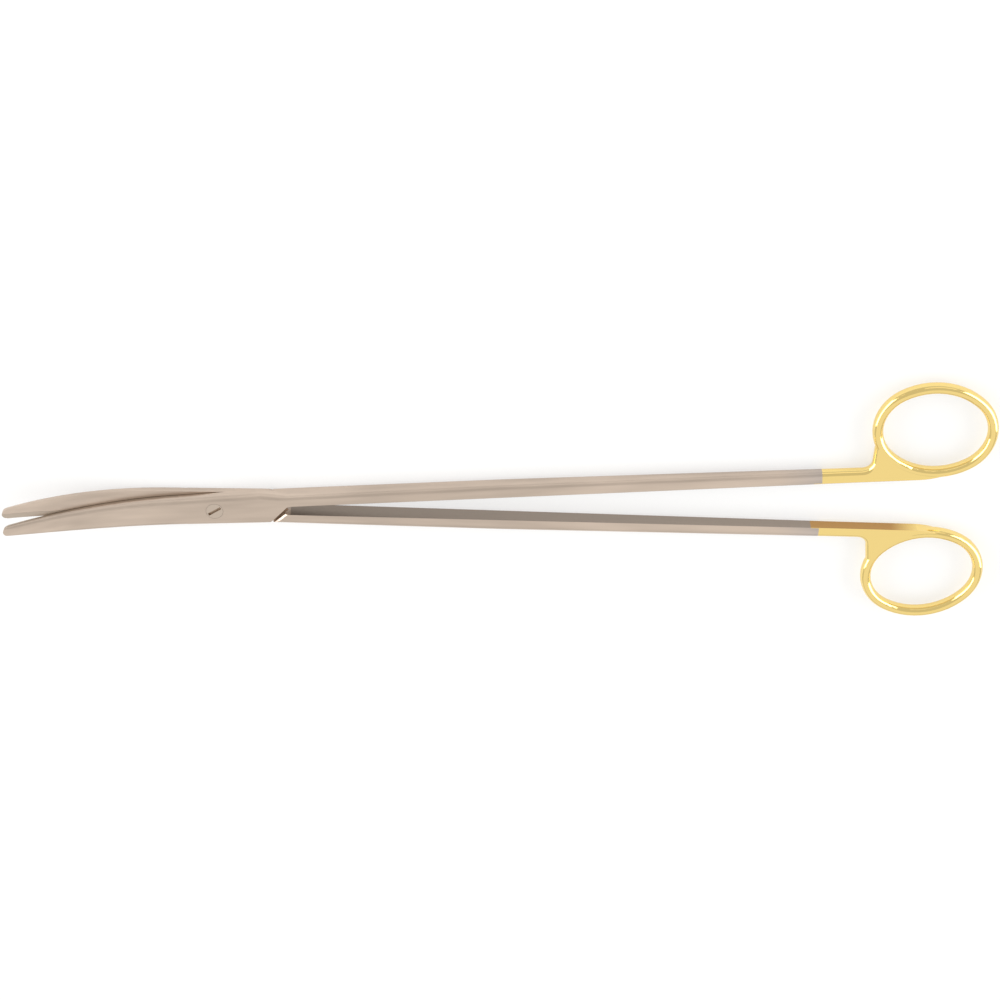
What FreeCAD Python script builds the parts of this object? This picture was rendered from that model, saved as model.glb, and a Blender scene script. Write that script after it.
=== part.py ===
import FreeCAD, Part
import math
import os
import re

import Sketcher

# Long curved dissecting scissors, lying on their back, a little open.
# X runs from the tips (negative) to the finger rings, Z is up and the screw's axis is the Z axis.
# Each half is drawn closed, as one shape with a side sign: +1 is the front half, whose plate is on
# top and whose ring is at +Y, and -1 is the rear half. Each is then turned by half the opening.

SIZES = [
    # The joint
    ("joint_thickness", 5.8, "both joint plates together"),
    ("face_clearance", 0.14, "running gap between the two inner faces"),
    ("plate_half_width", 4.9, "plate at its widest, from the screw's axis"),
    ("plate_wide_at", 13.0, "where the plate is widest"),
    ("plate_front", 8.0, "where the plate ends and the blade begins, before the screw"),
    ("plate_back", 21.0, "where the plate has run into the shank"),
    ("plate_spine", 4.45, "half-width on the spine side where the blade begins"),
    ("plate_edge", 4.1, "half-width on the cutting side where the blade begins"),
    ("edge_round", 2.0, "rounding from the cutting side up to the outer face"),
    ("spine_round", 1.2, "rounding from the spine up to the outer face"),
    ("lap_near", 15.0, "where the plate's slanted end starts, at its outer side"),
    ("lap_far", 20.6, "where the plate's slanted end meets the shank"),
    ("lap_clearance", 0.12, "gap left between plate end and shoulder when closed"),
    ("shoulder_chamfer", 0.45, "bevel along the shoulder"),
    # The blade
    ("blade_length", 58.7, "from the screw's axis to the tip"),
    ("blade_bite", 0.5, "how far the blade reaches into the plate"),
    ("grind_allowance", 0.6, "extra stock on the blade's inner face, ground off again"),
    ("blade_inset", 0.03, "how much the blade is ground below the plate where they meet"),
    ("curve_start", 12.0, "where the blade starts to curve up"),
    ("curve_radius", 139.0, "radius of the blade's curve"),
    ("tip_thickness", 1.2, "blade at the tip"),
    ("tip_spine", 1.6, "half-width at the tip on the spine side"),
    ("tip_edge", 1.15, "half-width at the tip on the cutting side"),
    ("tip_edge_round", 0.85, "rounding of the cutting side at the tip"),
    ("tip_spine_round", 0.5, "rounding of the spine at the tip"),
    ("spine_power", 2.8, "how late the spine curves in to the tip"),
    ("edge_power", 1.3, "how late the cutting edge curves in to the tip"),
    # The hard cutting strip
    ("strip_width", 1.4, "hard strip across the blade"),
    ("strip_thickness", 0.7, "hard strip up from the inner face"),
    ("strip_start", 10.0, "where the strip begins, before the screw"),
    ("braze_gap", 0.03, "braze film round the strip"),
    # The shank
    ("shank_gap", 0.49, "from the centre line to the shank's flat inner side when closed"),
    ("shank_root_width", 3.75, "outer side of the shank at the joint"),
    ("shank_mid_width", 4.25, "outer side of the shank at its fullest"),
    ("shank_end_width", 4.0, "outer side of the shank at the ring"),
    ("shank_fullest", 80.0, "where the shank is fullest"),
    ("shank_start", 14.0, "where the shank's bar begins, inside the plate"),
    ("web_reach", 25.5, "from the ring's middle to where the shank turns into the web"),
    ("web_step", 0.12, "how far the flat web lies below the ring's top"),
    ("shank_round", 1.65, "rounding of the shank's outer side"),
    # The ring
    ("ring_distance", 201.5, "from the screw's axis to the ring's middle"),
    ("hole_long", 29.0, "finger hole, the long way"),
    ("hole_short", 24.0, "finger hole, the short way"),
    ("ring_turn", 52.0, "where the ring's end curve passes into its side curve, in degrees"),
    ("ring_tilt", 10.4, "lean of the ring's long axis towards the other ring, in degrees"),
    ("ring_section", 3.05, "ring's section, in the ring's plane"),
    ("ring_thickness", 3.7, "ring's section, upright"),
    ("root_fillet", 2.7, "inside corner between shank and ring"),
    ("root_bite", 0.37, "how far the root's side stands inside the ring's outline"),
    ("flat_end", 4.0, "from the ring's middle to where the flat inner side runs into the ring"),
    # The screw
    ("head_radius", 2.38, "screw's head"),
    ("head_depth", 1.3, "height of the head"),
    ("neck_radius", 1.7, "plain neck that the front half turns on"),
    ("thread_radius", 1.5, "threaded end in the rear half"),
    ("running_clearance", 0.05, "between the front half and the screw"),
    ("thread_clearance", 0.02, "between the rear half and the thread"),
    ("slot_width", 0.8, "screwdriver slot"),
    ("slot_length", 4.1, "screwdriver slot, end to end"),
    ("slot_depth", 0.9, "screwdriver slot"),
    ("slot_angle", 33.9, "lean of the slot, in degrees, with the scissors closed"),
    # How far open the scissors lie
    ("half_opening", 2.316, "each half's turn from closed, in degrees"),
]
ALIASES = {name for name, value, note in SIZES}


def oval_radii(half_x, half_y, turn):
    """Radii of the end arcs and side arcs of an oval whose arcs meet where its normal has turned."""
    spread = "((%s - %s) / (sin(%s * 1deg) + cos(%s * 1deg) - 1))" % (half_x, half_y, turn, turn)
    end = "(%s - %s * cos(%s * 1deg))" % (half_x, spread, turn)
    side = "(%s + %s * sin(%s * 1deg))" % (half_y, spread, turn)
    return end, side


# Places worked out from the sizes above
MID = "(joint_thickness / 2)"
PLATE = "(joint_thickness / 2 - face_clearance / 2)"
SPINE_LONG = "(hole_long / 2 + ring_section / 2)"
SPINE_SHORT = "(hole_short / 2 + ring_section / 2)"
END_RADIUS, SIDE_RADIUS = oval_radii(SPINE_LONG, SPINE_SHORT, "ring_turn")
RING_Y = ("(shank_gap + ring_section / 2 + %s - (%s - %s) * cos(ring_tilt * 1deg))"
          % (SIDE_RADIUS, SIDE_RADIUS, SPINE_SHORT))
RING_LEFT = ("(ring_distance - ring_section / 2 - %s - (%s - %s) * cos(ring_tilt * 1deg))"
             % (END_RADIUS, SPINE_LONG, END_RADIUS))
ROOT_AT = "(%s + root_bite)" % RING_LEFT
SHANK_END = "(ring_distance - web_reach)"
LAP_SLOPE = "((lap_far - lap_near) / (plate_half_width + shank_gap))"

# How far a cutting outline reaches past the metal
CLEAR = "5"
# An edge shorter than this is left sharp, and places closer than this are the same
SHORT = 1.0
SAME = 1e-4

doc = FreeCAD.newDocument("scissors")
sheet = doc.addObject("Spreadsheet::Sheet", "Sizes")
for row, (name, value, note) in enumerate(SIZES, 1):
    sheet.set("A%d" % row, name)
    sheet.set("B%d" % row, str(value))
    sheet.set("C%d" % row, note)
    sheet.setAlias("B%d" % row, name)
doc.recompute()


def bound(text):
    """The formula with each size's name pointed at its cell."""
    return re.sub(r"[a-z_]+", lambda m: "Sizes." + m.group(0) if m.group(0) in ALIASES else m.group(0), text)


def value_of(text):
    return float(sheet.evalExpression(bound(text)))


def plane_of(body, role):
    return [feature for feature in body.Origin.OriginFeatures if feature.Role == role][0]


def new_sketch(body, name, role, lift="0", shift=("0", "0"), turn="0", about=(0, 0, 1)):
    """A sketch on one of the body's planes, lifted off it, shifted in it and turned."""
    sketch = body.newObject("Sketcher::SketchObject", name)
    sketch.AttachmentSupport = [(plane_of(body, role), "")]
    sketch.MapMode = "FlatFace"
    offset = FreeCAD.Vector(value_of(shift[0]), value_of(shift[1]), value_of(lift))
    turned = FreeCAD.Rotation(FreeCAD.Vector(*about), value_of(turn))
    sketch.AttachmentOffset = FreeCAD.Placement(offset, turned)
    sketch.setExpression("AttachmentOffset.Base.x", bound(shift[0]))
    sketch.setExpression("AttachmentOffset.Base.y", bound(shift[1]))
    sketch.setExpression("AttachmentOffset.Base.z", bound(lift))
    if turn != "0":
        sketch.setExpression("AttachmentOffset.Rotation.Angle", bound(turn))
    return sketch


def pin(sketch, geometry, end, corner):
    """Tie one end of a line or arc to two formulas."""
    for kind, formula in zip(("DistanceX", "DistanceY"), corner):
        place = Sketcher.Constraint(kind, -1, 1, geometry, end, value_of(formula))
        sketch.setExpression("Constraints[%d]" % sketch.addConstraint(place), bound(formula))


def draw(sketch, corners):
    """A closed outline through the corners. A corner with a third formula starts an arc of that
    radius, which bulges to the right of the way to the next corner, or to the left if negative."""
    for index, corner in enumerate(corners):
        after = corners[(index + 1) % len(corners)]
        a = FreeCAD.Vector(value_of(corner[0]), value_of(corner[1]), 0)
        b = FreeCAD.Vector(value_of(after[0]), value_of(after[1]), 0)
        if len(corner) == 2:
            line = sketch.addGeometry(Part.LineSegment(a, b), False)
            pin(sketch, line, 1, corner[:2])
            pin(sketch, line, 2, after[:2])
            continue
        radius = value_of(corner[2])
        right = radius > 0
        half = (b - a) * 0.5
        left_way = FreeCAD.Vector(-half.y, half.x, 0).normalize()
        reach = max(radius ** 2 - half.Length ** 2, 0) ** 0.5
        centre = a + half + left_way * (reach if right else -reach)
        first, last = (a, b) if right else (b, a)
        start = math.atan2(first.y - centre.y, first.x - centre.x)
        stop = math.atan2(last.y - centre.y, last.x - centre.x)
        if stop < start:
            stop += 2 * math.pi
        circle = Part.Circle(centre, FreeCAD.Vector(0, 0, 1), abs(radius))
        arc = sketch.addGeometry(Part.ArcOfCircle(circle, start, stop), False)
        pin(sketch, arc, 1 if right else 2, corner[:2])
        pin(sketch, arc, 2 if right else 1, after[:2])
        size = Sketcher.Constraint("Radius", arc, abs(radius))
        formula = corner[2] if right else "-(%s)" % corner[2]
        sketch.setExpression("Constraints[%d]" % sketch.addConstraint(size), bound(formula))


def sided(side, formula):
    """The formula itself on the front half, and its negative on the rear half."""
    return formula if side > 0 else "-(%s)" % formula


def loft(body, name, sections):
    feature = body.newObject("PartDesign::AdditiveLoft", name)
    feature.Profile = sections[0]
    feature.Sections = sections[1:]
    doc.recompute()


def pad(body, name, sketch, length):
    feature = body.newObject("PartDesign::Pad", name)
    feature.Profile = sketch
    feature.setExpression("Length", bound(length))
    doc.recompute()
    return feature


def cut_through(body, name, sketch, length, upward):
    """A pocket from the sketch, up or down, which must take material away."""
    before = body.Shape.Volume
    feature = body.newObject("PartDesign::Pocket", name)
    feature.Profile = sketch
    feature.setExpression("Length", bound(length))
    feature.Reversed = upward
    doc.recompute()
    if body.Shape.Volume > before - SAME:
        raise RuntimeError(name + " cuts nothing")
    return feature


# Blade


def along(share):
    """Distance from the screw at a share of the blade's length past the plate."""
    return "(plate_front + (blade_length - plate_front) * %s)" % share


def rise(place):
    """How far the parting surface has curved up, at this distance from the screw."""
    return "(curve_radius - sqrt(curve_radius ^ 2 - (max(%s; curve_start) - curve_start) ^ 2))" % place


def taper(start, end, share, power="1"):
    return "(%s - (%s - %s) * (%s) ^ (%s))" % (start, start, end, share, power)


def blade_section(body, side, label, station, share, inner, inset="0"):
    """The blade's section at one station, with its inner face lowered by the given allowance."""
    spine = "(%s - %s)" % (taper("plate_spine", "tip_spine", share, "spine_power"), inset)
    edge = "(%s - %s)" % (taper("plate_edge", "tip_edge", share, "edge_power"), inset)
    thick = "(%s - %s)" % (taper(PLATE, "tip_thickness", share), inset)
    bow = taper("edge_round", "tip_edge_round", share)
    back = taper("spine_round", "tip_spine_round", share)
    sketch = new_sketch(body, label, "YZ_Plane", "-" + station)
    corners = [
        ("-" + spine, "-" + inner),
        (edge, "-" + inner),
        (edge, "(%s - %s)" % (thick, bow), bow),
        ("(%s - %s)" % (edge, bow), thick),
        ("(%s - %s)" % (back, spine), thick, back),
        ("-" + spine, "(%s - %s)" % (thick, back)),
    ]
    base = "%s + %s" % (MID, rise(station))
    placed = [(sided(side, corner[0]),
               base + " + " + sided(side, "(face_clearance / 2 + %s)" % corner[1])) + corner[2:]
              for corner in corners]
    draw(sketch, placed)
    return sketch


BLADE_TOP = "(joint_thickness + %s)" % rise("blade_length")
BLADE_SHARES = ["0", "0.12", "0.26", "0.4", "0.54", "0.68", "0.8", "0.9", "1"]


def add_blade(body, side):
    """The curved blade, over-thick on its inner face, which is ground afterwards."""
    start = "(plate_front - blade_bite)"
    sections = [blade_section(body, side, "blade_start", start, "0", "grind_allowance",
                              "blade_inset")]
    for i, share in enumerate(BLADE_SHARES[1:], 1):
        sections.append(blade_section(body, side, "blade_%d" % i, along(share), share,
                                      "grind_allowance"))
    loft(body, "blade", sections)


def grind_inner_face(body, side):
    """The inner face is turned about the screw's axis, so the blades meet at every opening."""
    sketch = new_sketch(body, "grinding", "XZ_Plane")
    far = "(blade_length + %s)" % CLEAR
    face = "%s + %s" % (MID, sided(side, "face_clearance / 2"))
    # The front half loses what is under its face, and the rear half what is over it
    clear = "-" + CLEAR if side > 0 else "(%s + %s)" % (BLADE_TOP, CLEAR)
    corners = [("0", face), ("0", clear), ("-" + far, clear),
               ("-" + far, "%s + %s" % (face, rise(far)), "curve_radius"), ("-curve_start", face)]
    draw(sketch, corners)
    before = body.Shape.Volume
    groove = body.newObject("PartDesign::Groove", "inner_face")
    groove.Profile = sketch
    groove.ReferenceAxis = (sketch, ["V_Axis"])
    groove.Midplane = True
    groove.Angle = 180
    doc.recompute()
    if body.Shape.Volume > before - SAME:
        raise RuntimeError("the inner face isn't ground")


def round_tip(body, side):
    """The blunt tip, a half circle seen from above."""
    sketch = new_sketch(body, "tip_outline", "XY_Plane", "(%s + %s)" % (BLADE_TOP, CLEAR))
    radius = "((tip_spine + tip_edge) / 2)"
    back = "(%s - blade_length)" % radius
    beyond = "(-blade_length - %s)" % CLEAR
    high = "plate_half_width"
    edge = sided(side, "tip_edge")
    spine = sided(side, "-tip_spine")
    middle = sided(side, "(tip_edge - tip_spine) / 2")
    bulge = ("-" if side > 0 else "") + radius
    corners = [(back, sided(side, high)), (beyond, sided(side, high)), (beyond, sided(side, "-" + high)),
               (back, sided(side, "-" + high)), (back, spine, bulge), ("-blade_length", middle, bulge),
               (back, edge)]
    draw(sketch, corners)
    cut_through(body, "tip", sketch, "(%s + 2 * %s)" % (BLADE_TOP, CLEAR), False)


# Joint plate and shank


def mirrored(side, corners):
    """The outline on the front half, and its mirror image on the rear half."""
    placed = []
    for corner in corners:
        radius = tuple(corner[2:])
        if radius and side < 0:
            radius = ("-(%s)" % radius[0],)
        placed.append((corner[0], sided(side, corner[1])) + radius)
    return placed


def dress(body, kind, name, wanted, sizes):
    """A fillet or chamfer on every edge that passes the test, which gets the edge's two ends."""
    edges = []
    for index, edge in enumerate(body.Shape.Edges, 1):
        ends = [vertex.Point for vertex in edge.Vertexes]
        if len(ends) == 2 and wanted(ends[0], ends[1]):
            edges.append("Edge%d" % index)
    if not edges:
        raise RuntimeError(name + " finds no edge")
    base = body.Tip
    feature = body.newObject("PartDesign::" + kind, name)
    feature.Base = (base, edges)
    for prop, formula in sizes.items():
        feature.setExpression(prop, bound(formula))
    doc.recompute()
    return feature


def add_plate(body, side):
    """Half the joint's thickness, with rounded edges that the blade carries on."""
    outer = "joint_thickness" if side > 0 else "0"
    sketch = new_sketch(body, "plate_outline", "XY_Plane", outer)
    draw(sketch, mirrored(side, [
        ("-plate_front", "-plate_spine"),
        ("plate_wide_at", "-plate_half_width"),
        ("lap_near", "-plate_half_width"),
        ("lap_far", "shank_gap"),
        ("plate_back", "shank_gap"),
        ("plate_back", "shank_root_width"),
        ("plate_wide_at", "plate_half_width"),
        ("-plate_front", "plate_edge"),
    ]))
    plate = pad(body, "plate", sketch, PLATE)
    plate.Reversed = side > 0
    doc.recompute()
    height = value_of(outer)

    def cutting_edge(a, b):
        level = abs(a.z - height) < SAME and abs(b.z - height) < SAME
        return level and min(a.y * side, b.y * side) > SHORT and abs(a.x - b.x) > SHORT

    def spine_edge(a, b):
        level = abs(a.z - height) < SAME and abs(b.z - height) < SAME
        return level and max(a.y * side, b.y * side) < -SHORT and abs(a.x - b.x) > SHORT

    dress(body, "Fillet", "edge_rounding", cutting_edge, {"Radius": "edge_round"})
    dress(body, "Fillet", "spine_rounding", spine_edge, {"Radius": "spine_round"})


def add_shank(body, side):
    """Shank and web as one flat outline, thinned towards the ring, with rounded outer edges."""
    sketch = new_sketch(body, "shank_outline", "XY_Plane")
    end_x, end_y = ring_point("300")
    over = "(%s - ring_distance + flat_end)" % end_x
    up = "(%s - shank_gap)" % end_y
    run_in = "((%s ^ 2 + %s ^ 2) / (2 * %s))" % (over, up, up)
    draw(sketch, mirrored(side, [
        ("shank_start", "shank_gap"),
        ("ring_distance - flat_end", "shank_gap", run_in),
        (end_x, end_y),
        ring_point("282"),
        ring_point("262"),
        ring_point("240"),
        ring_point("220"),
        ring_point("200"),
        ring_point("180"),
        (ROOT_AT, "shank_end_width + root_fillet", "-root_fillet"),
        ("%s - root_fillet" % ROOT_AT, "shank_end_width"),
        ("shank_fullest", "shank_mid_width"),
        ("shank_start", "shank_root_width"),
    ]))
    pad(body, "shank", sketch, "joint_thickness")
    profile = new_sketch(body, "thinning", "XZ_Plane")
    beyond = "(ring_distance + %s)" % SPINE_LONG
    for face, away in (("joint_thickness", "(joint_thickness + %s)" % CLEAR), ("0", "-" + CLEAR)):
        thin = "%s %s (ring_thickness / 2 - web_step)" % (MID, "+" if face != "0" else "-")
        corners = [("plate_back", face), (SHANK_END, thin), (beyond, thin), (beyond, away),
                   ("plate_back", away)]
        draw(profile, corners)
    before = body.Shape.Volume
    thinned = body.newObject("PartDesign::Pocket", "thinned")
    thinned.Profile = profile
    thinned.Type = 1
    thinned.Midplane = True
    doc.recompute()
    if body.Shape.Volume > before - SAME:
        raise RuntimeError("the shank isn't thinned")


def cut_lap(body, side):
    """The half's own shoulder: beside it, half the thickness is gone for the other half's plate."""
    face = "%s + %s" % (MID, sided(side, "face_clearance / 2"))
    sketch = new_sketch(body, "lap", "XY_Plane", face)
    reach = "(plate_half_width + %s)" % CLEAR
    shifted = "(lap_near + lap_clearance * sqrt(1 + %s ^ 2))" % LAP_SLOPE
    draw(sketch, mirrored(side, [
        ("0", "-" + reach),
        ("%s + %s * (plate_half_width + %s)" % (shifted, LAP_SLOPE, reach), "-" + reach),
        ("%s - %s * %s" % (shifted, LAP_SLOPE, CLEAR), reach),
        ("0", reach),
    ]))
    cut_through(body, "lap_cut", sketch, "joint_thickness", side < 0)
    outer = value_of("0" if side > 0 else "joint_thickness")

    def shoulder_edge(a, b):
        level = abs(a.z - outer) < SAME and abs(b.z - outer) < SAME
        slanted = abs(a.x - b.x) > SHORT and abs(a.y - b.y) > SHORT
        return level and slanted and max(a.x, b.x) < value_of("plate_back") + SHORT

    dress(body, "Chamfer", "shoulder_bevel", shoulder_edge, {"Size": "shoulder_chamfer"})


def soften_edges(body, side):
    """Rounds the outer side all along the shank and up the ring's root, in a D-shaped section."""
    root = value_of(ROOT_AT)
    middle = value_of(MID)
    chord_end = value_of(ring_point("180")[0])

    def outer_edge(a, b):
        outside = min(a.y * side, b.y * side) > 2 * SHORT and (a - b).Length > SHORT
        left_of_ring = min(a.x, b.x) < root + SAME and max(a.x, b.x) < chord_end + SAME
        upright = abs(a.x - b.x) < SAME and abs(a.y - b.y) < SAME
        at_lap = max(abs(a.z - middle), abs(b.z - middle)) < 2 * value_of("face_clearance")
        return outside and left_of_ring and not upright and not at_lap

    dress(body, "Fillet", "soft_edges", outer_edge, {"Radius": "shank_round"})


# Ring


def add_ring(body, side):
    """An oval section swept round a path of two end curves and two side curves."""
    lean = sided(-side, "ring_tilt")
    path = new_sketch(body, "ring_path", "XY_Plane", MID, ("ring_distance", sided(side, RING_Y)), lean)
    draw(path, oval(SPINE_LONG, SPINE_SHORT, "ring_turn"))
    # Seen along the ring: its own plane turned with the long axis
    section = new_sketch(body, "ring_section_outline", "XZ_Plane", sided(-side, RING_Y),
                         ("ring_distance", MID), lean, about=(0, 1, 0))
    draw(section, oval("(ring_section / 2)", "(ring_thickness / 2)", "(90 - ring_turn)", SPINE_LONG)[1:])
    ring = body.newObject("PartDesign::AdditivePipe", "ring")
    ring.Profile = section
    ring.Spine = (path, [])
    doc.recompute()


def oval(half_x, half_y, turn, centre="0"):
    """Corners of an oval: its rightmost point and the four places where its arcs meet."""
    end, side = oval_radii(half_x, half_y, turn)
    over = "(%s - %s + %s * cos(%s * 1deg))" % (half_x, end, end, turn)
    up = "(%s * sin(%s * 1deg))" % (end, turn)
    return [
        ("%s + %s" % (centre, half_x), "0", end),
        ("%s + %s" % (centre, over), up, side),
        ("%s - %s" % (centre, over), up, end),
        ("%s - %s" % (centre, over), "-" + up, side),
        ("%s + %s" % (centre, over), "-" + up, end),
    ]


def ring_point(degrees):
    """A point on the ring's middle line, in the half's own frame before it is mirrored."""
    u = "%s * cos(%s * 1deg)" % (SPINE_LONG, degrees)
    v = "%s * sin(%s * 1deg)" % (SPINE_SHORT, degrees)
    x = "ring_distance + %s * cos(ring_tilt * 1deg) + %s * sin(ring_tilt * 1deg)" % (u, v)
    y = "%s - %s * sin(ring_tilt * 1deg) + %s * cos(ring_tilt * 1deg)" % (RING_Y, u, v)
    return (x, y)


# Whole halves


def add_bore(body, side):
    """Front half: a counterbore and a running bore. Rear half: the threaded hole."""
    if side > 0:
        steps = [("counterbore", "joint_thickness + 1", "head_radius + running_clearance", "head_depth + 1"),
                 ("bore", "joint_thickness + 1", "neck_radius + running_clearance", "joint_thickness + 1")]
    else:
        steps = [("bore", "joint_thickness + 1", "thread_radius + thread_clearance", "joint_thickness + 2")]
    for name, start, radius, depth in steps:
        sketch = new_sketch(body, name + "_circle", "XY_Plane", start)
        round_hole(sketch, radius)
        cut_through(body, name, sketch, depth, False)


def round_hole(sketch, radius):
    circle = Part.Circle(FreeCAD.Vector(0, 0, 0), FreeCAD.Vector(0, 0, 1), value_of(radius))
    edge = sketch.addGeometry(circle, False)
    sketch.addConstraint(Sketcher.Constraint("Coincident", edge, 3, -1, 1))
    size = Sketcher.Constraint("Radius", edge, value_of(radius))
    sketch.setExpression("Constraints[%d]" % sketch.addConstraint(size), bound(radius))


def join(name, one, other, refine):
    """Two overlapping solids as one, which must be smaller than both but larger than either."""
    joined = doc.addObject("Part::Fuse", name)
    joined.Base = one
    joined.Tool = other
    joined.Refine = refine
    doc.recompute()
    shared = one.Shape.common(other.Shape).Volume
    expected = one.Shape.Volume + other.Shape.Volume - shared
    if abs(joined.Shape.Volume - expected) > 0.5:
        raise RuntimeError(name + " lost a part: %.1f of %.1f" % (joined.Shape.Volume, expected))
    return joined


def make_blank(name, side):
    """One half as forged and ground, without the rabbet for its hard strip."""
    handle = doc.addObject("PartDesign::Body", name + "_handle")
    add_shank(handle, side)
    cut_lap(handle, side)
    soften_edges(handle, side)
    ring = doc.addObject("PartDesign::Body", name + "_ring")
    add_ring(ring, side)
    blade = doc.addObject("PartDesign::Body", name + "_blade")
    add_plate(blade, side)
    add_blade(blade, side)
    grind_inner_face(blade, side)
    round_tip(blade, side)
    add_bore(blade, side)
    bar = join(name + "_bar", handle, blade, True)
    return join(name + "_forging", bar, ring, False)


def make_strip_envelope(label, side, gap):
    """The space along the cutting edge that the hard strip takes up, grown by the braze gap."""
    body = doc.addObject("PartDesign::Body", label)
    sections = []
    start = "(strip_start - %s)" % gap
    for i, share in enumerate(BLADE_SHARES):
        station = "(%s + (blade_length + 1 - %s) * %s)" % (start, start, share)
        blade_share = "((%s - plate_front) / (blade_length - plate_front))" % station
        edge = taper("plate_edge", "tip_edge", blade_share, "edge_power")
        sketch = new_sketch(body, "strip_%d" % i, "YZ_Plane", "-" + station)
        base = "%s + %s" % (MID, rise(station))
        low = sided(side, "(-face_clearance)")
        high = sided(side, "(face_clearance / 2 + strip_thickness + %s)" % gap)
        inside = sided(side, "(%s - strip_width - %s)" % (edge, gap))
        outside = sided(side, "(%s + 1)" % edge)
        draw(sketch, [(inside, base + " + " + low), (outside, base + " + " + low),
                      (outside, base + " + " + high), (inside, base + " + " + high)])
        sections.append(sketch)
    loft(body, "strip", sections)
    return body


def place(node, side):
    node.Placement = FreeCAD.Placement(FreeCAD.Vector(0, 0, 0),
                                       FreeCAD.Rotation(FreeCAD.Vector(0, 0, 1), 0))
    turn = "half_opening" if side > 0 else "-half_opening"
    node.Placement.Rotation = FreeCAD.Rotation(FreeCAD.Vector(0, 0, 1), value_of(turn))
    node.setExpression("Placement.Rotation.Angle", bound(turn))


def make_half(name, side):
    blank = make_blank(name, side)
    rabbet = make_strip_envelope(name + "_rabbet", side, "braze_gap")
    steel = doc.addObject("Part::Cut", name + "_steel")
    steel.Base = blank
    steel.Tool = rabbet
    steel.Refine = False
    steel.Label = name
    place(steel, side)
    return steel, blank


def make_strip(name, side, blank):
    envelope = make_strip_envelope(name + "_envelope", side, "0")
    strip = doc.addObject("Part::Common", name + "_strip")
    strip.Base = blank
    strip.Tool = envelope
    strip.Refine = False
    strip.Label = name
    place(strip, side)
    return strip


def make_screw():
    """Flush slotted head, plain neck and threaded end, which is ground flush at the back."""
    body = doc.addObject("PartDesign::Body", "screw")
    body.Label = "pivot_screw"
    outline = new_sketch(body, "screw_outline", "XZ_Plane")
    neck_low = "(%s - face_clearance / 2)" % MID
    head_low = "(joint_thickness - head_depth + running_clearance)"
    draw(outline, [("0", "0"), ("thread_radius", "0"), ("thread_radius", neck_low),
                   ("neck_radius", neck_low), ("neck_radius", head_low), ("head_radius", head_low),
                   ("head_radius", "joint_thickness"), ("0", "joint_thickness")])
    turned = body.newObject("PartDesign::Revolution", "turned")
    turned.Profile = outline
    turned.ReferenceAxis = (outline, ["V_Axis"])
    turned.Angle = 360
    doc.recompute()
    slot = new_sketch(body, "slot_outline", "XY_Plane", "joint_thickness", ("0", "0"), "slot_angle")
    x = "slot_length / 2"
    y = "slot_width / 2"
    draw(slot, [("-" + x, "-" + y), (x, "-" + y), (x, y), ("-" + x, y)])
    cut_through(body, "slot", slot, "slot_depth", False)
    place(body, -1)
    return body


front_half, front_blank = make_half("front_half", 1)
rear_half, rear_blank = make_half("rear_half", -1)
nodes = [
    front_half,
    rear_half,
    make_strip("front_carbide_edge", 1, front_blank),
    make_strip("rear_carbide_edge", -1, rear_blank),
    make_screw(),
]
doc.recompute()

for item in doc.Objects:
    if "Invalid" in item.State or "Error" in item.State:
        raise RuntimeError("%s failed: %s" % (item.Name, item.State))
for node in nodes:
    shape = node.Shape
    if shape.isNull() or not shape.isValid() or len(shape.Solids) != 1:
        raise RuntimeError("%s has no single valid solid" % node.Label)

os.makedirs("parts", exist_ok=True)
for node in nodes:
    node.Shape.exportStep("parts/%s.step" % node.Label)
    box = node.Shape.BoundBox
    print("%-20s %8.1f mm3  x %.1f %.1f  y %.1f %.1f  z %.2f %.2f" % (
        node.Label, node.Shape.Volume, box.XMin, box.XMax, box.YMin, box.YMax, box.ZMin, box.ZMax))
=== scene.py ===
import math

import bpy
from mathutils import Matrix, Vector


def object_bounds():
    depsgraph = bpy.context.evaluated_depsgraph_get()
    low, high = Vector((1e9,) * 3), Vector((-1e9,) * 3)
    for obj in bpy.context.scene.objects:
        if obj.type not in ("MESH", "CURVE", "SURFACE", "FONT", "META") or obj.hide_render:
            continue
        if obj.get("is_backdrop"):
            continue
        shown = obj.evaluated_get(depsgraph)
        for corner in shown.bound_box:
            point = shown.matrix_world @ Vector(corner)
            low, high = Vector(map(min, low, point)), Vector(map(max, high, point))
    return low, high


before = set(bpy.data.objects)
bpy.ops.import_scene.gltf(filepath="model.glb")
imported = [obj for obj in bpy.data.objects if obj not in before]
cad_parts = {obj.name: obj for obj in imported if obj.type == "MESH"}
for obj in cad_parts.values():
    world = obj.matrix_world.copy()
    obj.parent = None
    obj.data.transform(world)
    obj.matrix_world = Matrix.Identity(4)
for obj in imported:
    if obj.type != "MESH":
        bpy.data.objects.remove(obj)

# %% [markdown]
# # Dissecting scissors, dressed for their picture
#
# The two halves, the hard strips and the screw come from the CAD model, and they have the right
# shapes already. What this script adds is the surface: satin ground steel, gold plating on the
# rings, matt carbide along the cutting edges, then the table, the light and the camera.
# The box of the bare model is kept first, to show at the end that nothing has grown.

cad_box = [list(corner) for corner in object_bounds()]
size_mm = [round((high - low) * 1000, 2) for low, high in zip(*cad_box)]
print("bare model:", size_mm, "mm, nodes:", sorted(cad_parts))

# %% [markdown]
# ## Helpers for node trees
#
# Every finish below is a small net of shader nodes. Wiring it by hand takes three lines for each
# node, so one helper places a node and fills its inputs, each with a plain value or with another
# node's output. It is only a shorthand: what it builds is what a person would build in the shader
# editor. Mix and Map Range nodes have several inputs of the same name, one set for each kind of
# data, so two more helpers keep their numbers in one place.

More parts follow.
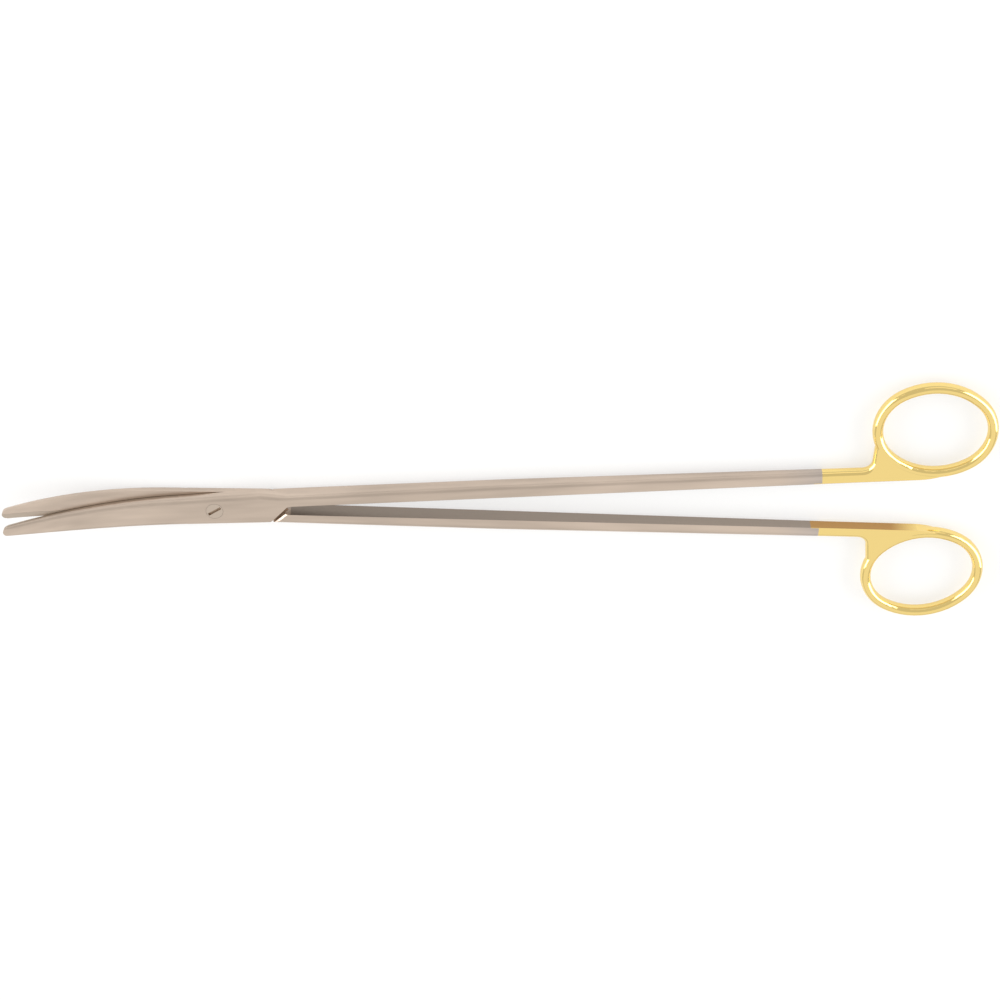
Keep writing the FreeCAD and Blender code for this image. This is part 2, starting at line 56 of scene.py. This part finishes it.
# %% The node helpers
def add_node(tree, kind, inputs=None, **settings):
    """A node of this kind. Its inputs are given by the name or number of the socket."""
    node = tree.nodes.new(kind)
    for key, value in settings.items():
        setattr(node, key, value)
    for key, side in (inputs or {}).items():
        if isinstance(side, bpy.types.NodeSocket):
            tree.links.new(side, node.inputs[key])
        else:
            node.inputs[key].default_value = side
    return node


def sum_of(tree, operation, first, second, clamp=False):
    """One sum. Each side is a plain number or another node's output."""
    node = add_node(tree, "ShaderNodeMath", {0: first, 1: second},
                    operation=operation, use_clamp=clamp)
    return node.outputs[0]


def mix_of(tree, data_type, share, first, second):
    """From the first to the second as the share goes from 0 to 1."""
    first_at, second_at, output_at = {"FLOAT": (2, 3, 0), "RGBA": (6, 7, 2)}[data_type]
    node = add_node(tree, "ShaderNodeMix", {0: share, first_at: first, second_at: second},
                    data_type=data_type)
    return node.outputs[output_at]


def range_of(tree, value, from_low, from_high, to_low, to_high):
    """The value, moved from one range of numbers to another."""
    node = add_node(tree, "ShaderNodeMapRange",
                    {0: value, 1: from_low, 2: from_high, 3: to_low, 4: to_high})
    return node.outputs[0]


print("node helpers ready")

# %% [markdown]
# ## A helper for node groups
#
# An effect that several materials share is kept in a group, which is drawn once and then placed
# like a node. A group shows only its named sockets, and this helper makes them.

# %% The group helper
FLOAT = "NodeSocketFloat"
VECTOR = "NodeSocketVector"


def new_group(name, inputs, outputs):
    """An empty node group with named sockets: the tree, its input node and its output node."""
    tree = bpy.data.node_groups.new(name, "ShaderNodeTree")
    for socket, kind, default in inputs:
        made = tree.interface.new_socket(socket, in_out="INPUT", socket_type=kind)
        if default is not None:
            made.default_value = default
    for socket, kind in outputs:
        tree.interface.new_socket(socket, in_out="OUTPUT", socket_type=kind)
    return tree, tree.nodes.new("NodeGroupInput"), tree.nodes.new("NodeGroupOutput")


def close_group(tree, given, results):
    """Links each result to the group's output of that name."""
    for name, socket in results.items():
        tree.links.new(socket, given.inputs[name])
    print(tree.name + ":", len(tree.nodes), "nodes")


print("group helpers ready")

# %% [markdown]
# ## Grinding marks
#
# A forged half is ground on a belt, along its length, and then glazed with a finer belt. That
# leaves two things to see: hair-fine lines along the length, and soft clouds where the belt
# pressed a little more. Both are noise, stretched along the length, the lines much further.
# An image texture would show a seam somewhere on a long bar. Noise in three dimensions has no
# seam and is as fine as it needs to be. The effect is a group, because the steel, the carbide and
# the screw all use it with their own values.

# %% One stretched noise
def stretched_noise(tree, split, width, stretch, detail, roughness):
    """Noise with spots of this width in metres, drawn out along X this many times."""
    squeezed = sum_of(tree, "DIVIDE", split.outputs[0], stretch)
    place = add_node(tree, "ShaderNodeCombineXYZ",
                     {0: squeezed, 1: split.outputs[1], 2: split.outputs[2]})
    scale = sum_of(tree, "DIVIDE", 1.0, width)
    noise = add_node(tree, "ShaderNodeTexNoise",
                     {"Vector": place.outputs[0], "Scale": scale,
                      "Detail": detail, "Roughness": roughness})
    return noise.outputs["Fac"]


print("stretched noise ready")

# %% The grinding group
LINE_DETAIL, LINE_ROUGHNESS = 3.0, 0.6
CLOUD_DETAIL, CLOUD_ROUGHNESS = 2.0, 0.5

grinding, taken, given = new_group(
    "grinding marks",
    [("Place", VECTOR, None), ("Line Width", FLOAT, 0.0002), ("Line Stretch", FLOAT, 40.0),
     ("Cloud Size", FLOAT, 0.006), ("Cloud Stretch", FLOAT, 3.0)],
    [("Lines", FLOAT), ("Clouds", FLOAT)],
)
split = add_node(grinding, "ShaderNodeSeparateXYZ", {0: taken.outputs["Place"]})
close_group(grinding, given, {
    "Lines": stretched_noise(grinding, split, taken.outputs["Line Width"],
                             taken.outputs["Line Stretch"], LINE_DETAIL, LINE_ROUGHNESS),
    "Clouds": stretched_noise(grinding, split, taken.outputs["Cloud Size"],
                              taken.outputs["Cloud Stretch"], CLOUD_DETAIL, CLOUD_ROUGHNESS),
})

# %% [markdown]
# ## Where the plating is
#
# The rings are dipped in the plating bath after the steel has been masked, so the gold ends in a
# sharp line across the shank. On the flat inner side the line sits a little nearer to the screw.
# The picture shows the scissors a little open, so each half is turned about the screw. The mask
# turns the place back first, and then the line is simply a distance from the screw. Object
# coordinates are used, because they stay with the half when it swings.
# A cut mesh with two materials would show the same line but would need the CAD mesh changed.

# %% The plating mask's line
HALF_OPENING = math.radians(2.316)
PLATING_START = 0.1703
PLATING_START_INSIDE = 0.1680
INNER_SIDE_DEPTH = 0.00065
LINE_SOFTNESS = 0.00015
NEAR_REACH = 0.012

plating_mask, taken, given = new_group(
    "plating mask",
    [("Place", VECTOR, None), ("Side", FLOAT, 1.0), ("Start", FLOAT, PLATING_START),
     ("Start Inside", FLOAT, PLATING_START_INSIDE)],
    [("Closed Place", VECTOR), ("Plated", FLOAT), ("Towards Plating", FLOAT),
     ("Inner Flat Shade", FLOAT)],
)
side, start = taken.outputs["Side"], taken.outputs["Start"]
back_turn = sum_of(plating_mask, "MULTIPLY", side, -HALF_OPENING)
turned = add_node(plating_mask, "ShaderNodeVectorRotate",
                  {"Vector": taken.outputs["Place"], "Angle": back_turn}, rotation_type="Z_AXIS")
split = add_node(plating_mask, "ShaderNodeSeparateXYZ", {0: turned.outputs[0]})
along = split.outputs[0]
own_side = sum_of(plating_mask, "MULTIPLY", split.outputs[1], side)
closed = add_node(plating_mask, "ShaderNodeCombineXYZ",
                  {0: along, 1: own_side, 2: split.outputs[2]})
inner_side = sum_of(plating_mask, "LESS_THAN", own_side, INNER_SIDE_DEPTH)
shorter = sum_of(plating_mask, "SUBTRACT", taken.outputs["Start Inside"], start)
shift = sum_of(plating_mask, "MULTIPLY", inner_side, shorter)
line = sum_of(plating_mask, "ADD", start, shift)
past = sum_of(plating_mask, "SUBTRACT", along, line)
plated = sum_of(plating_mask, "DIVIDE", past, LINE_SOFTNESS, clamp=True)
near = sum_of(plating_mask, "ADD", past, NEAR_REACH)
towards = sum_of(plating_mask, "DIVIDE", near, NEAR_REACH, clamp=True)
print("plating starts", PLATING_START * 1000, "mm from the screw")

# %% [markdown]
# ## Where the flat inner sides are
#
# The sides of the shanks that meet when the scissors close are flat. Their colour is darkened,
# plated or not: painted shade, standing in for the dim shadowed strip of table that they mirror.
# The turned place tells where they are: close to the middle line, past the joint, and fading out
# where the flat runs into the ring. It is one more output of the same group, since it needs the
# same place.

# %% The flat inner sides
FLAT_DEPTH = 0.00053
FLAT_START = 0.0212
FLAT_FADE = 0.191
FLAT_END = 0.199

# Painted shade goes where this mask is: the flat inner sides of the shanks.
at_flat = sum_of(plating_mask, "LESS_THAN", own_side, FLAT_DEPTH)
past_joint = sum_of(plating_mask, "GREATER_THAN", along, FLAT_START)
before_ring = range_of(plating_mask, along, FLAT_FADE, FLAT_END, 1.0, 0.0)
on_shank = sum_of(plating_mask, "MULTIPLY", past_joint, before_ring)
inner_flat_shade = sum_of(plating_mask, "MULTIPLY", at_flat, on_shank)
close_group(plating_mask, given, {"Closed Place": closed.outputs[0], "Plated": plated,
                                  "Towards Plating": towards, "Inner Flat Shade": inner_flat_shade})

# %% [markdown]
# ## Satin steel with gold rings
#
# One half is one piece of steel, so it has one material, and the mask chooses between two
# looks. Both are metals, so only the colour, the roughness and the bump change: the colour goes
# from a warm grey to gold, and the roughness from satin to polished.
# Mixing two whole shaders would work as well, but one shader with masked values renders faster
# and is easier to take to another program.

# %% The halves' colours
STEEL = (0.60, 0.495, 0.41, 1.0)
STEEL_NEAR_PLATING = (0.53, 0.46, 0.41, 1.0)
# Painted shade: the darker steel and the darker gold that the flat inner sides get.
STEEL_FLAT_SHADE = (0.33, 0.275, 0.23, 1.0)
GOLD = (0.92, 0.70, 0.265, 1.0)
GOLD_FLAT_SHADE = (0.47, 0.265, 0.09, 1.0)
# Noise seldom leaves these values, so they are taken as its ends
NOISE_LOW, NOISE_HIGH = 0.3, 0.7
CLOUD_DARKEST, CLOUD_LIGHTEST = 0.86, 1.1


def half_colour(tree, mask, marks):
    """Clouded steel or gold, each darkened on the flat inner side with painted shade."""
    flat = mask.outputs["Inner Flat Shade"]
    bare = mix_of(tree, "RGBA", mask.outputs["Towards Plating"], STEEL, STEEL_NEAR_PLATING)
    value = range_of(tree, marks.outputs["Clouds"], NOISE_LOW, NOISE_HIGH,
                     CLOUD_DARKEST, CLOUD_LIGHTEST)
    clouded = add_node(tree, "ShaderNodeHueSaturation", {"Color": bare, "Value": value})
    # Painted shade on the flat inner side, in steel and in gold.
    steel = mix_of(tree, "RGBA", flat, clouded.outputs[0], STEEL_FLAT_SHADE)
    gold = mix_of(tree, "RGBA", flat, GOLD, GOLD_FLAT_SHADE)
    return mix_of(tree, "RGBA", mask.outputs["Plated"], steel, gold)


print("steel", STEEL[:3], "gold", GOLD[:3])

# %% The halves' material
HALF_MARKS = {"Line Width": 0.00016, "Line Stretch": 60.0,
              "Cloud Size": 0.0035, "Cloud Stretch": 9.0}
SATIN_SMOOTHEST, SATIN_ROUGHEST = 0.3, 0.4
GOLD_ROUGHNESS = 0.1
GOLD_HEIGHT = 0.5
BUMP_DISTANCE = 0.00001
HALF_BUMP = 0.35


def new_material(name):
    """A fresh material: its tree, its shader and the object coordinates in it."""
    material = bpy.data.materials.new(name)
    material.use_nodes = True
    tree = material.node_tree
    place = add_node(tree, "ShaderNodeTexCoord").outputs["Object"]
    shader = tree.nodes["Principled BSDF"]
    shader.inputs["Metallic"].default_value = 1.0
    return material, tree, shader, place


def add_bump(tree, shader, height, strength):
    """Tilts the shader's normals as if the surface rose with the height."""
    bump = add_node(tree, "ShaderNodeBump",
                    {"Height": height, "Strength": strength, "Distance": BUMP_DISTANCE})
    tree.links.new(bump.outputs[0], shader.inputs["Normal"])


def half_material(name, side):
    """Satin steel that turns to gold at the plating's line. The side is 1 or -1."""
    material, tree, shader, place = new_material(name)
    mask = add_node(tree, "ShaderNodeGroup", node_tree=plating_mask)
    mask.inputs["Side"].default_value = side
    tree.links.new(place, mask.inputs["Place"])
    marks = add_node(tree, "ShaderNodeGroup", node_tree=grinding)
    for socket, value in HALF_MARKS.items():
        marks.inputs[socket].default_value = value
    tree.links.new(mask.outputs["Closed Place"], marks.inputs["Place"])
    plated, lines = mask.outputs["Plated"], marks.outputs["Lines"]
    satin = range_of(tree, lines, NOISE_LOW, NOISE_HIGH, SATIN_SMOOTHEST, SATIN_ROUGHEST)
    rough = mix_of(tree, "FLOAT", plated, satin, GOLD_ROUGHNESS)
    height = mix_of(tree, "FLOAT", plated, lines, GOLD_HEIGHT)
    tree.links.new(half_colour(tree, mask, marks), shader.inputs["Base Color"])
    tree.links.new(rough, shader.inputs["Roughness"])
    add_bump(tree, shader, height, HALF_BUMP)
    return material


def set_material(node, material):
    """The CAD model gives each piece one material slot, and this fills it."""
    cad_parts[node].data.materials[0] = material
    print(node, "is", material.name)


set_material("front_half", half_material("front_satin_steel", 1.0))
set_material("rear_half", half_material("rear_satin_steel", -1.0))

# %% [markdown]
# ## Hard strips
#
# The strips are tungsten carbide, brazed in and ground flush. Carbide is a shade darker and more
# matt than the steel, with finer lines, which run along the edge too.

# %% A plain ground metal, and the strips
CARBIDE = (0.52, 0.44, 0.365, 1.0)
CARBIDE_ROUGHNESS = 0.45
CARBIDE_LINE_WIDTH = 0.0001
PLAIN_LINE_STRETCH = 30.0
PLAIN_BUMP = 0.3


def plain_metal(name, colour, roughness, line_width):
    """Metal of one colour with grinding lines."""
    material, tree, shader, place = new_material(name)
    marks = add_node(tree, "ShaderNodeGroup", node_tree=grinding)
    marks.inputs["Line Width"].default_value = line_width
    marks.inputs["Line Stretch"].default_value = PLAIN_LINE_STRETCH
    tree.links.new(place, marks.inputs["Place"])
    shader.inputs["Base Color"].default_value = colour
    shader.inputs["Roughness"].default_value = roughness
    add_bump(tree, shader, marks.outputs["Lines"], PLAIN_BUMP)
    return material


carbide = plain_metal("ground_carbide", CARBIDE, CARBIDE_ROUGHNESS, CARBIDE_LINE_WIDTH)
set_material("front_carbide_edge", carbide)
set_material("rear_carbide_edge", carbide)

# %% [markdown]
# ## The screw
#
# The screw is the same steel as the halves, turned on a lathe and ground flush with the front
# half after it has been set, so it takes nearly the same satin finish.

# %% The screw's material
SCREW_STEEL = (0.56, 0.47, 0.39, 1.0)
SCREW_ROUGHNESS = 0.34
SCREW_LINE_WIDTH = 0.00014

set_material("pivot_screw",
             plain_metal("screw_steel", SCREW_STEEL, SCREW_ROUGHNESS, SCREW_LINE_WIDTH))

# %% [markdown]
# ## The table
#
# The picture has a plain white ground. A big plane does that. Lit alone it would be grey or it
# would need so much light that the metal burns out, so part of its white is its own: the plane
# glows a little for the camera and in reflections, and the rest is lit, so that the scissors
# still throw a soft shadow on it. It lies a hair below the scissors, so that no faces coincide.

# %% Table
TABLE_SIZE = 6.0
TABLE_PLACE = (0.08, 0.0, -0.0001)
TABLE_OWN_WHITE = 0.55
TABLE_LIT = (0.42, 0.42, 0.418, 1.0)

bpy.ops.mesh.primitive_plane_add(size=TABLE_SIZE, location=TABLE_PLACE)
table = bpy.context.object
table.name = "table"
white = bpy.data.materials.new("table_white")
white.use_nodes = True
tree = white.node_tree
tree.nodes.clear()
path = add_node(tree, "ShaderNodeLightPath")
seen = sum_of(tree, "ADD", path.outputs["Is Camera Ray"], path.outputs["Is Glossy Ray"])
seen = sum_of(tree, "ADD", seen, path.outputs["Is Transmission Ray"], clamp=True)
glow = sum_of(tree, "MULTIPLY", seen, TABLE_OWN_WHITE)
emission = add_node(tree, "ShaderNodeEmission", {"Strength": glow})
lit = add_node(tree, "ShaderNodeBsdfDiffuse", {"Color": TABLE_LIT})
both = add_node(tree, "ShaderNodeAddShader", {0: emission.outputs[0], 1: lit.outputs[0]})
add_node(tree, "ShaderNodeOutputMaterial", {"Surface": both.outputs[0]})
table.data.materials.append(white)
table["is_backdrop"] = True
print("table at", TABLE_PLACE[2] * 1000, "mm")

# %% [markdown]
# ## Light
#
# Polished and satin metal show what stands round them, so the light is big soft panels and an
# even, pale world. The main panel hangs where the flat faces mirror it to the camera. Two low ones
# stand past the tips and past the rings and draw the bright lines along the rounded parts. A weak
# one on the camera's side lifts the sides that face it. Small lamps would give hard sparks here.

# %% Lamps
LIT_POINT = (0.08, 0.0, 0.0)
# name, place, width, height, watts
PANELS = [
    ("main_panel", (0.08, -0.75, 1.1), 2.4, 1.8, 3.6),
    ("left_panel", (-1.1, 0.15, 0.45), 1.6, 0.9, 14.0),
    ("right_panel", (1.3, 0.15, 0.45), 1.6, 0.9, 14.0),
    ("back_panel", (0.08, 1.3, 0.65), 2.0, 0.5, 1.2),
]

for name, place, width, height, watts in PANELS:
    lamp = bpy.data.lights.new(name, "AREA")
    lamp.shape = "RECTANGLE"
    lamp.size = width
    lamp.size_y = height
    lamp.energy = watts
    panel = bpy.data.objects.new(name, lamp)
    bpy.context.scene.collection.objects.link(panel)
    panel.location = place
    towards_part = Vector(LIT_POINT) - Vector(place)
    panel.rotation_euler = towards_part.to_track_quat("-Z", "Y").to_euler()
print(len(PANELS), "panels")

# %% World
WORLD_COLOUR = (1.0, 0.99, 0.97, 1.0)
WORLD_STRENGTH = 0.7

world = bpy.data.worlds.new("studio")
world.use_nodes = True
background = world.node_tree.nodes["Background"]
background.inputs["Color"].default_value = WORLD_COLOUR
background.inputs["Strength"].default_value = WORLD_STRENGTH
bpy.context.scene.world = world
bpy.context.scene.view_settings.view_transform = "Standard"
print("world at", WORLD_STRENGTH)

# %% [markdown]
# ## Camera
#
# The two finger holes are equal in the real thing, so how they look in the picture tells where the
# camera stood: 33 degrees off the upright, on the side of the front half's ring, and about 0.74 m
# away. The picture's top is that same side, so the tips, which rise towards the camera, come out
# lower in the picture than the joint.

# %% Camera
TILT = math.radians(33.14)
ROLL = math.radians(0.296)
DISTANCE = 0.7422
TARGET = Vector((0.080126, 0.001426, 0.0029))
FOCAL_PIXELS = 2639.0
IMAGE_PIXELS = 1000.0
SENSOR_MM = 36.0
NEAREST_SEEN = 0.01

backwards = Vector((0.0, math.sin(TILT), math.cos(TILT)))
level_up = Vector((0.0, math.cos(TILT), -math.sin(TILT)))
level_right = Vector((1.0, 0.0, 0.0))
right = level_right * math.cos(ROLL) - level_up * math.sin(ROLL)
up = level_up * math.cos(ROLL) + level_right * math.sin(ROLL)
turn = Matrix((right, up, backwards)).transposed().to_4x4()
camera = bpy.data.objects.new("camera", bpy.data.cameras.new("camera"))
bpy.context.scene.collection.objects.link(camera)
camera.matrix_world = Matrix.Translation(TARGET + backwards * DISTANCE) @ turn
camera.data.sensor_width = SENSOR_MM
camera.data.lens = FOCAL_PIXELS / IMAGE_PIXELS * SENSOR_MM
camera.data.clip_start = NEAREST_SEEN
bpy.context.scene.camera = camera
print("camera at", [round(value, 4) for value in camera.location],
      "lens", round(camera.data.lens, 2))

# %% [markdown]
# ## The last check
#
# The dressed model must fill the same box as the bare one, so the upper corners of both boxes are
# compared and the growth is printed.

# %% Both boxes, and the end
dressed_box = [list(corner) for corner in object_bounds()]
grown = [round((after - before) * 1000, 3) for before, after in zip(cad_box[1], dressed_box[1])]
print("grown by", grown, "mm")
